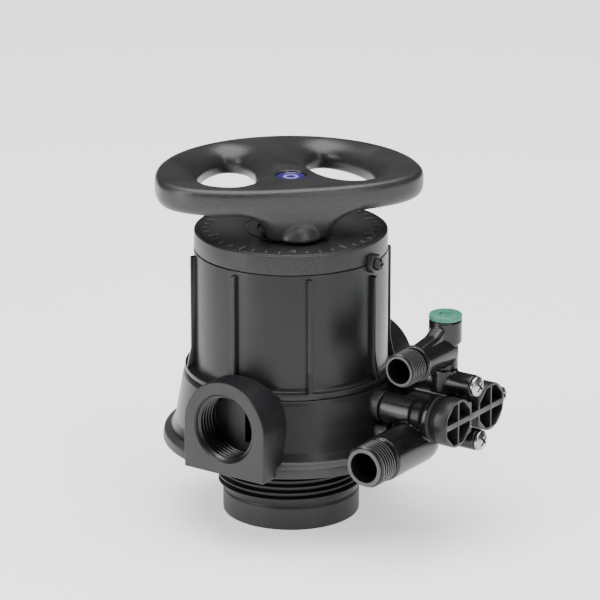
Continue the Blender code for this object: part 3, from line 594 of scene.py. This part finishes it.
def lid_shape():
    """The dial lid as a turned ring: bevelled rim, two fine grooves and the ball's track."""
    low, high = SEAM + 0.3, LID_TOP - 0.2
    line = rounded([
        (10.4, low, 0.3), (LID_R, low, 0.4), (LID_R, high, 1.1), (46.2, high, 0.2),
        (45.6, LID_TOP - 0.9, 0.2), (44.9, LID_TOP - 0.9, 0.2), (44.4, high, 0.2), (24, high, 0.3),
        (23.4, LID_TOP - 0.7, 0.2), (22.4, LID_TOP - 0.7, 0.2), (21.8, LID_TOP, 0.3),
        (16.6, LID_TOP, 0.2), (16.6, 144.8, 0.4), (11.4, 144.8, 0.4), (11.4, LID_TOP, 0.2),
        (10.4, LID_TOP, 0.2)], closed=True)
    return lathe(line, FINE_ROUND, closed=True)


def make_lid():
    lid = add_mesh("lid_disc", lid_shape())
    outline = rounded([(-4.6, SEAM)] + arc((0, SEAM), 4.6, 183, 357, 22)
                      + [(4.6, SEAM), (3.4, 140.6, 2.2), (-3.4, 140.6, 2.2)])
    fuse(lid, add_mesh("tab", plate(outline, [(-47.6, 0), (-49.7, 0), (-50.1, -0.15),
                                              (-50.3, -0.6)])))
    cut(lid, add_mesh("hole", rod(2.2, 0, 12, 24), (0, -52, LOCK_Z), Y))
    finish_piece(lid, "valve", "dial_lid", LID_GREY)
    marks = []
    for tick in range(TICKS):
        if tick % (TICKS // NUMERALS) == 0:
            continue
        start = 38.4 if tick % 4 == 0 else 40.8
        shape = box((start, -TICK_HALF_WIDTH, LID_TOP - MARK_SINK),
                    (TICK_END_R, TICK_HALF_WIDTH, LID_TOP + MARK_RISE))
        marks.append(add_mesh("mark", shape, spin=tick * 360 // TICKS))
    dial = join(marks[0], *marks[1:])
    dial.name = "dial_marks"
    finish_piece(dial, "valve", None, MARK_GREY, 30)
    for index in range(NUMERALS):
        numeral(index)


def numeral(index):
    """A raised plain numeral on the lid, read from outside."""
    text = bpy.data.curves.new("numeral_%d" % (index + 1), "FONT")
    text.body = str(index + 1)
    text.size = NUMERAL_SIZE * MM
    text.extrude = MARK_SINK * MM
    text.align_x = "CENTER"
    text.align_y = "CENTER"
    source = bpy.data.objects.new("source", text)
    bpy.context.scene.collection.objects.link(source)
    bpy.context.view_layer.update()
    evaluated = source.evaluated_get(bpy.context.evaluated_depsgraph_get())
    mesh = bpy.data.meshes.new_from_object(evaluated)
    bpy.data.objects.remove(source, do_unlink=True)
    work = bmesh.new()
    work.from_mesh(mesh)
    bmesh.ops.remove_doubles(work, verts=work.verts, dist=1e-6)
    work.to_mesh(mesh)
    work.free()
    obj = bpy.data.objects.new("dial_numeral_%d" % (index + 1), mesh)
    bpy.context.scene.collection.objects.link(obj)
    angle = math.radians(index * 360 // NUMERALS)
    obj.location = Vector((NUMERAL_R * math.cos(angle), NUMERAL_R * math.sin(angle),
                           LID_TOP + MARK_RISE - MARK_SINK)) * MM
    obj.rotation_euler = (0, 0, angle + math.pi / 2)
    finish_piece(obj, "valve", None, MARK_GREY, 30)


def cross_head(radius, height, recess, sides=40):
    """Pan head with a cross recess, standing on the plane at height 0."""
    line = rounded([(0, 0), (radius, 0, 0.2), (radius, height * 0.55, height * 0.4),
                    (radius * 0.45, height, 1.0), (0, height)])
    head = add_mesh("head", lathe(line, sides))
    for turn in (45, 135):
        cut(head, add_mesh("blade", box((-recess, -recess * 0.20, height * 0.2),
                                        (recess, recess * 0.20, height + 1)), spin=turn))
    return head


def make_lock_screw():
    line = rounded([(0, 0), (1.8, 0, 0.2), (1.8, 9), (3.1, 9, 0.2), (3.1, 10.5, 0.5),
                    (2.3, 11.3, 0.5), (0, 11.3)])
    screw = add_mesh("lock_screw", lathe(line, 36), (0, -50.3 + 9 - 0.3, LOCK_Z), -Y)
    cut(screw, add_mesh("slot", box((-0.45, -60, 133.5), (0.45, -52.2, 138.8))),
        add_mesh("slot", box((-2.2, -60, 135.7), (2.2, -52.2, 136.6))))
    finish_piece(screw, "valve", "lid_lock_screw", BODY_BLACK)


# ---------------------------------------------------------------- handwheel

def in_wheel_frame(along, side, height):
    return POINTER * along + SIDE * side + Z * height


def wheel_outline(steps=160):
    """Round at the back and flattened at the front."""
    outline = []
    for step in range(steps):
        angle = math.tau * step / steps
        front = math.cos(angle) > 0
        power = 2 / WHEEL_POWER if front else 1.0
        reach = WHEEL_FRONT if front else WHEEL_BACK
        along, side = (math.copysign(abs(share) ** power, share)
                       for share in (math.cos(angle), math.sin(angle)))
        outline.append((WHEEL_MIDDLE + reach * along, WHEEL_HALF_WIDTH * side))
    return outline


def finger_hole_outline(mirror):
    """One finger hole, or with mirror -1 the other."""
    corners = [(-32, 10), (-15, 11.5), (-1, 15.5), (9, 22), (13.5, 31), (8, 41), (-6, 46),
               (-20, 46.2), (-34, 41.5), (-46, 33.5), (-51.5, 24), (-46, 14)]
    loop = smooth_loop(corners, 6)
    return loop if mirror > 0 else [(a, -s) for a, s in reversed(loop)]


def wheel_loft(outline, levels):
    return loft([[in_wheel_frame(a, side, height) for a, side in offset(outline, out)]
                 for height, out in levels])


def web_sections():
    """The front web: flush with the wheel's front wall, it narrows downwards to the hub."""
    # height above the hub's foot, half width, distance of the front face
    levels = [(0, 15.2, 26.2), (0.8, 15.8, 27.2), (3.2, 16.0, 28.2), (5.7, 16.8, 28.9),
              (8.3, 18.8, 29.4), (10.7, 22.0, 29.7), (12.9, 27.5, 29.8), (15.1, 37.0, 29.8),
              (19, 44.0, 29.6)]
    sections = []
    for rise, half_width, front in levels:
        line = [(6, -half_width)]
        for step in range(41):
            t = step / 20 - 1
            side = half_width * math.copysign(abs(t) ** 0.8, t)
            bow = (1 - (abs(side) / WHEEL_HALF_WIDTH) ** WHEEL_POWER) ** (1 / WHEEL_POWER)
            line.append((WHEEL_MIDDLE + (front - WHEEL_MIDDLE) * bow - 5.0 * abs(t) ** 9, side))
        line.append((6, half_width))
        sections.append([in_wheel_frame(a, side, HUB_BOTTOM + rise) for a, side in line])
    return sections


def ellipse(middle, along, side, steps=SMALL_ROUND):
    """An ellipse in the wheel's (along, side) plane, its middle on the pointer's line."""
    angles = [math.tau * i / steps for i in range(steps)]
    return [(middle + along * math.cos(a), side * math.sin(a)) for a in angles]


def nose_dome(steps=8):
    """Rounded pointer at the foot of the web."""
    sections = []
    for step in range(steps + 1):
        lift = step / steps
        size = math.sqrt(1 - lift ** 2) if step < steps else 0.12
        sections.append([in_wheel_frame(a, side, HUB_BOTTOM + 11.5 * lift)
                         for a, side in ellipse(21.0, 11.6 * size, 11.8 * size)])
    return loft(sections)


def make_handwheel():
    top, bottom = WHEEL_TOP - 0.05, WHEEL_BOTTOM
    rim = [(bottom, -4.5), (bottom + 0.6, -2.6), (bottom + 1.8, -1.2), (bottom + 3.6, -0.3),
           (bottom + 5.5, 0), (top - 3.2, 0), (top - 1.9, -0.3), (top - 0.85, -1.0),
           (top - 0.25, -2.0), (top, -3.4)]
    wheel = add_mesh("wheel", wheel_loft(wheel_outline(), rim))
    trunk_levels = [(HUB_BOTTOM, -0.4), (HUB_BOTTOM + 4, 0), (156, 0.5), (159, 1.4), (161, 2.4),
                    (164, 3.2)]
    fuse(wheel, add_mesh("trunk", wheel_loft(ellipse(4, 22, 15.8), trunk_levels)))
    fuse(wheel, add_mesh("web", loft(web_sections())), add_mesh("nose", nose_dome()))
    flare = [(bottom - 1, -2.0), (bottom, -2.4), (bottom + 1.0, -3.0), (bottom + 2.5, -3.4),
             (top - 8.0, -3.4), (top - 6.0, -2.6), (top - 4.2, -1.2), (top - 2.5, 0.8),
             (top - 1.1, 3.2), (top - 0.3, 5.4), (top + 1, 9.0)]
    for mirror in (1, -1):
        cut(wheel, add_mesh("finger", wheel_loft(finger_hole_outline(mirror), flare)))
    # the top is dished by a shallow part of a large ball
    ball_r = 60
    dish = [(ball_r * math.sin(a), top + 58.2 - ball_r * math.cos(a))
            for a in (math.pi * i / 40 for i in range(21))]
    cut(wheel, add_mesh("dish", lathe(dish + [(0, top + 58.2)], 96)))
    soften(wheel, voxel=0.85, passes=7)
    pocket = rounded([(0, 164.5), (7.6, 164.5), (7.6, 172.4), (8.6, 173.6), (8.6, 178), (0, 178)])
    cut(wheel, add_mesh("stem", rod(9.7, 140, 150, 64)),
        add_mesh("socket", box((-6.3, -6.3, 140), (6.3, 6.3, 162))),
        add_mesh("screw_way", rod(2.7, 150, 168, 24)),
        add_mesh("badge_pocket", lathe(pocket, 64)),
        add_mesh("ball_pocket", rod(2.8, 140, 158.2, 24), POINTER * -BALL_TRACK_R))
    finish_piece(wheel, "rotor", "handwheel", WHEEL_GREY, 50)
    line = rounded([(0, 170), (BADGE_R, 170, 0.3), (BADGE_R, 171.7, 0.35), (6.6, 172.0, 0.2),
                    (6.2, 171.8, 0.2), (0, 171.9)])
    badge = add_mesh("badge_disc", lathe(line, 64))
    finish_piece(badge, "rotor", "handwheel_badge", BADGE, 40)


# ---------------------------------------------------------------- ejector assembly

def figure_eight(lobe_r, waist_half):
    """Two round lobes joined by a waist, as (x, z) points, anticlockwise."""
    lift = math.degrees(math.asin(waist_half / lobe_r)) + 6
    right = arc((TUBE_B_X, TUBE_Z), lobe_r, lift - 180, 180 - lift, 44)
    left = arc((TUBE_A_X, TUBE_Z), lobe_r, lift, 360 - lift, 44)
    top = [(COVER_MIDDLE + 3, TUBE_Z + waist_half), (COVER_MIDDLE - 3, TUBE_Z + waist_half)]
    bottom = [(COVER_MIDDLE - 3, TUBE_Z - waist_half), (COVER_MIDDLE + 3, TUBE_Z - waist_half)]
    return right + top + left + bottom


def make_ejector_body():
    body = add_mesh("manifold", plate(figure_eight(LOBE_R - 1.4, 7.2), [(-84.8, 0), (-88, 0)]))
    for x in (TUBE_A_X, TUBE_B_X):
        fuse(body, along_y("tube", x, TUBE_Z, [
            (0, 58.3), (7.6, 58.3, 0.5), (7.5, 76.0, 0.5), (8.4, 77, 0.5), (8.7, 83, 1.2),
            (10.4, 85.2, 0.6), (10.4, 87), (0, 87)]))
    fuse(body, add_mesh("bridge", box((TUBE_A_X, -85, 60.5), (TUBE_B_X, -67, 72.4))))
    for place, start, end, radius in ((UPPER_SCREW, 58.3, BOSS_END, LONG_BOSS_R),
                                      (LOWER_SCREW, 62.3, BOSS_END, LONG_BOSS_R),
                                      (SIDE_SCREW, 68, SIDE_BOSS_END, SIDE_BOSS_R)):
        fuse(body, along_y("boss", *place, [(0, start), (radius, start, 0.5), (radius, end, 0.7),
                                            (0, end)]))
    fuse(body, add_mesh("upper_web", box((9, -85.7, 68), (18.2, -62, 78))),
         add_mesh("lower_web", box((1, -84, 51.5), (16, -66, 61.5))),
         add_mesh("lower_web_right", box((14, -86, 51), (18, -66, 66))),
         add_mesh("side_web", box((TUBE_B_X, -86, 64), (SIDE_SCREW[0], -70, 68))),
         add_mesh("tower", rod(6.4, 74.2, 86), (TOWER_X, TOWER_Y, 0)))
    mouth = (DRAIN_MOUTH_X, DRAIN_Y, DRAIN_Z)
    drain = rounded([(0, 13.9), (9.8, 13.9), (9.8, 14.4, 0.2), (11.2, 14.4, 0.5), (11.2, 46, 3.0),
                     (10.6, 50.6, 3.0), (6.6, 55, 3.0), (0, 56)])
    fuse(body, add_mesh("drain", lathe(drain, 56), mouth, X))
    fuse(body, along_y("drain_arm", TUBE_A_X, DRAIN_ARM_Z, [(0, 62.3), (7.1, 62.3, 0.4),
                                                            (7.1, 76.3), (0, 76.3)]))
    soften(body, voxel=0.5, passes=3)
    cut(body, add_mesh("drain_bore", rod(DRAIN_BORE_R, 10, 48.7, 48), mouth, X))
    for x in (TUBE_A_X, TUBE_B_X):
        cut(body, add_mesh("flow_bore", rod(5.0, 57, 92, 36), (x, 0, TUBE_Z), -Y))
    for (x, z), start, end in ((UPPER_SCREW, 57, 101), (LOWER_SCREW, 61, 101),
                               (SIDE_SCREW, 74, 96)):
        cut(body, add_mesh("way", rod(2.25, start, end, 24), (x, 0, z), -Y))
    cut(body, add_mesh("tower_bore", rod(4.5, 80, 88, 36), (TOWER_X, TOWER_Y, 0)))
    finish_piece(body, "valve", "ejector_body", GLOSS_BLACK, 50)
    threaded_spout("drain_spout", DRAIN_BORE_R, DRAIN_THREAD, 14.6, mouth, 13.2)


def cover_pocket(x):
    """The four hollows of one lobe: an octagon less a level and an upright bar."""
    front, floor, pocket_r = -101, -93.4, 11.1
    octagon = [(x + pocket_r * math.cos(a), TUBE_Z + pocket_r * math.sin(a), 2.2)
               for a in (math.radians(22.5 + 45 * i) for i in range(8))]
    pocket = add_mesh("pocket", plate(rounded(octagon, closed=True), [(front, 0), (floor, 0)]))
    return cut(pocket,
               add_mesh("level", box((x - 14, -103, TUBE_Z - 1.4), (x + 14, -90, TUBE_Z + 1.4))),
               add_mesh("upright", box((x - 0.6, -103, TUBE_Z - 14), (x + 0.6, -90, TUBE_Z + 14))))


def make_ejector_cover():
    levels = [(-89.8, -1.6), (-92.4, -1.6), (-92.9, -0.3), (-93.3, 0), (-99.6, 0), (-99.9, -0.1),
              (-100, -0.4)]
    cover = add_mesh("cover", plate(figure_eight(LOBE_R, 7.6), levels))
    for x in (TUBE_A_X, TUBE_B_X):
        cut(cover, cover_pocket(x))
    for side in (-1, 1):
        low_z, high_z = sorted((TUBE_Z + side * 1.7, TUBE_Z + side * 12))
        cut(cover, add_mesh("waist", box((COVER_MIDDLE - 3.2, -103, low_z),
                                         (COVER_MIDDLE + 3.2, -93.4, high_z))))
    bevel = cover.modifiers.new("edge", "BEVEL")
    bevel.width = 0.35 * MM
    bevel.segments = 2
    bevel.limit_method = "ANGLE"
    bevel.angle_limit = math.radians(40)
    apply_modifiers(cover)
    finish_piece(cover, "valve", "ejector_cover", BODY_BLACK)


def make_ejector_screws():
    for name, (x, z), boss_end, radius, length in (
            ("ejector_screw_upper", UPPER_SCREW, BOSS_END, 5.0, 44),
            ("ejector_screw_lower", LOWER_SCREW, BOSS_END, 5.0, 43),
            ("ejector_screw_side", SIDE_SCREW, SIDE_BOSS_END, 4.0, 18)):
        head = cross_head(radius, 2.8, radius * 0.60)
        join(head, add_mesh("shank", rod(1.9, -length, 0.4, 24)))
        # laid along -Y here and not in add_mesh, so the cross stands the same way on every screw
        for vertex in head.data.vertices:
            local = vertex.co / MM
            vertex.co = Vector((x + local.x, -boss_end - 0.3 - local.z, z + local.y)) * MM
        head.name = name + "_fine"
        finish_piece(head, "valve", name, STEEL, 30)


def make_brine_elbow():
    tower = rounded([(0, 83.3), (4.1, 83.3), (4.1, 86.3), (6.4, 86.3, 0.3), (6.4, 98.6, 0.5),
                     (8.1, 99.8, 0.5), (8.1, 111, 0.4), (0, 111)])
    foot, middle = (TOWER_X, TOWER_Y, 0), (TOWER_X, TOWER_Y, BRINE_Z)
    elbow = add_mesh("elbow", lathe(tower, 64), foot)
    reach = TOWER_X - BRINE_MOUTH_X
    branch = rounded([(0, 0), (8.0, 0), (7.7, reach - 22, 4), (7.5, reach - 15.2, 0.3),
                      (9.3, reach - 14.8, 0.6), (9.3, reach - 12.6, 0.5), (0, reach - 12.6)])
    gusset = rounded([(TOWER_X + 1, 109.5), (TOWER_X - 7, 109), (TOWER_X - 13, 105.6, 5),
                      (-15.2, 103.6), (-15.2, BRINE_Z), (TOWER_X + 1, BRINE_Z)])
    gusset_levels = [(TOWER_Y + 4.2, -1.5), (TOWER_Y + 2.5, 0), (TOWER_Y - 2.5, 0),
                     (TOWER_Y - 4.2, -1.5)]
    fuse(elbow, add_mesh("branch", lathe(branch, 56), middle, -X),
         add_mesh("gusset", plate(gusset, gusset_levels)))
    soften(elbow, voxel=0.45, passes=4)
    cut(elbow, add_mesh("bore", rod(BRINE_BORE_R, 6, reach + 1, 48), middle, -X),
        add_mesh("top_bore", rod(5.6, 93, 113, 48), foot),
        add_mesh("low_bore", rod(2.4, 80, 95, 24), foot))
    finish_piece(elbow, "valve", "brine_elbow", GLOSS_BLACK, 50)
    threaded_spout("brine_spout", BRINE_BORE_R, BRINE_THREAD, 13.0,
                   (BRINE_MOUTH_X, TOWER_Y, BRINE_Z), 12.2)
    top = CAP_TOP
    line = rounded([(0, 106), (5.2, 106, 0.2), (5.2, 111.3), (8.1, 111.3, 0.2), (8.1, top, 0.7),
                    (3.3, top, 0.3), (2.8, top - 1.3, 0.2), (1.5, top - 1.3, 0.2),
                    (1.2, top - 0.5, 0.2), (0, top - 0.5)])
    cap = add_mesh("cap", lathe(line, 64), foot)
    finish_piece(cap, "valve", "brine_cap", GREEN)


# ---------------------------------------------------------------- hidden pieces

def dress_hidden_pieces():
    """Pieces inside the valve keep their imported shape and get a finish."""
    finishes = {"rubber": RUBBER, "ceramic": CERAMIC, "white_plastic": WHITE, "steel": STEEL}
    for row in frame["record"]["subparts"]:
        obj = frame["nodes"][row["node"]]
        if obj.hide_render:
            continue
        paint(obj, finishes[row["material_slot"]])


# ---------------------------------------------------------------- studio

def plain_material(name, colour, roughness):
    material = bpy.data.materials.new(name)
    material.use_nodes = True
    shader = material.node_tree.nodes["Principled BSDF"]
    shader.inputs["Base Color"].default_value = (*colour, 1)
    shader.inputs["Roughness"].default_value = roughness
    return material


def softbox(name, place, aim, width, height, power):
    """A rectangular area light at a place, turned towards its aim."""
    data = bpy.data.lights.new(name, "AREA")
    data.shape = "RECTANGLE"
    data.size = width
    data.size_y = height
    data.energy = power
    lamp = bpy.data.objects.new(name, data)
    bpy.context.scene.collection.objects.link(lamp)
    lamp.location = place
    lamp.rotation_euler = (Vector(aim) - Vector(place)).to_track_quat("-Z", "Y").to_euler()


def make_studio():
    """Pale floor that glows a little, dim room light and three soft boxes (sizes in metres)."""
    half, drop = 3.0, -0.0002
    mesh = bpy.data.meshes.new("floor")
    mesh.from_pydata([(x * half, y * half, drop) for x, y in ((-1, -1), (1, -1), (1, 1), (-1, 1))],
                     [], [(0, 1, 2, 3)])
    floor = bpy.data.objects.new("floor", mesh)
    bpy.context.scene.collection.objects.link(floor)
    pale = plain_material("pale_floor", (0.90, 0.905, 0.91), 0.6)
    shader = pale.node_tree.nodes["Principled BSDF"]
    shader.inputs["Emission Color"].default_value = (1, 1, 1, 1)
    shader.inputs["Emission Strength"].default_value = 0.80
    mesh.materials.append(pale)
    world = bpy.data.worlds.new("studio")
    world.use_nodes = True
    background = world.node_tree.nodes["Background"]
    background.inputs["Color"].default_value = (1, 1, 1, 1)
    background.inputs["Strength"].default_value = 0.09
    bpy.context.scene.world = world
    toward = Vector((math.sin(PHOTO_AZIMUTH), -math.cos(PHOTO_AZIMUTH), 0))
    right = Vector((-toward.y, toward.x, 0))
    middle = Vector((0, 0, 0.09))
    softbox("overhead", middle + toward * 0.1 + Z * 1.9, middle, width=2.4, height=2.4, power=105.0)
    softbox("key", middle + toward * 0.55 - right * 0.95 + Z * 0.35, middle,
            width=0.22, height=1.1, power=8.2)
    softbox("fill", middle + toward * 1.2 + right * 0.75 + Z * 0.5, middle,
            width=0.3, height=0.8, power=5.0)


def make_camera():
    """Camera at the photograph's angle, aimed beside the valve as the photograph frames it."""
    distance, shift_right, shift_up = 2.0, 0.00445, 0.0222
    level = math.cos(PHOTO_ELEVATION)
    back = Vector((math.sin(PHOTO_AZIMUTH) * level, -math.cos(PHOTO_AZIMUTH) * level,
                   math.sin(PHOTO_ELEVATION)))
    right = (-back).cross(Z).normalized()
    upward = right.cross(-back)
    aim = Vector((0, 0, 0.085))
    data = bpy.data.cameras.new("camera")
    data.sensor_width = 36.0
    data.lens = 242.9
    camera = bpy.data.objects.new("camera", data)
    bpy.context.scene.collection.objects.link(camera)
    camera.location = aim + back * distance
    centre = aim + right * shift_right + upward * shift_up
    camera.rotation_mode = "QUATERNION"
    camera.rotation_quaternion = (centre - camera.location).to_track_quat("-Z", "Y")
    bpy.context.scene.camera = camera


make_valve_body()
make_bonnet()
make_lid()
make_lock_screw()
make_handwheel()
make_ejector_body()
make_ejector_cover()
make_ejector_screws()
make_brine_elbow()
dress_hidden_pieces()
make_studio()
make_camera()
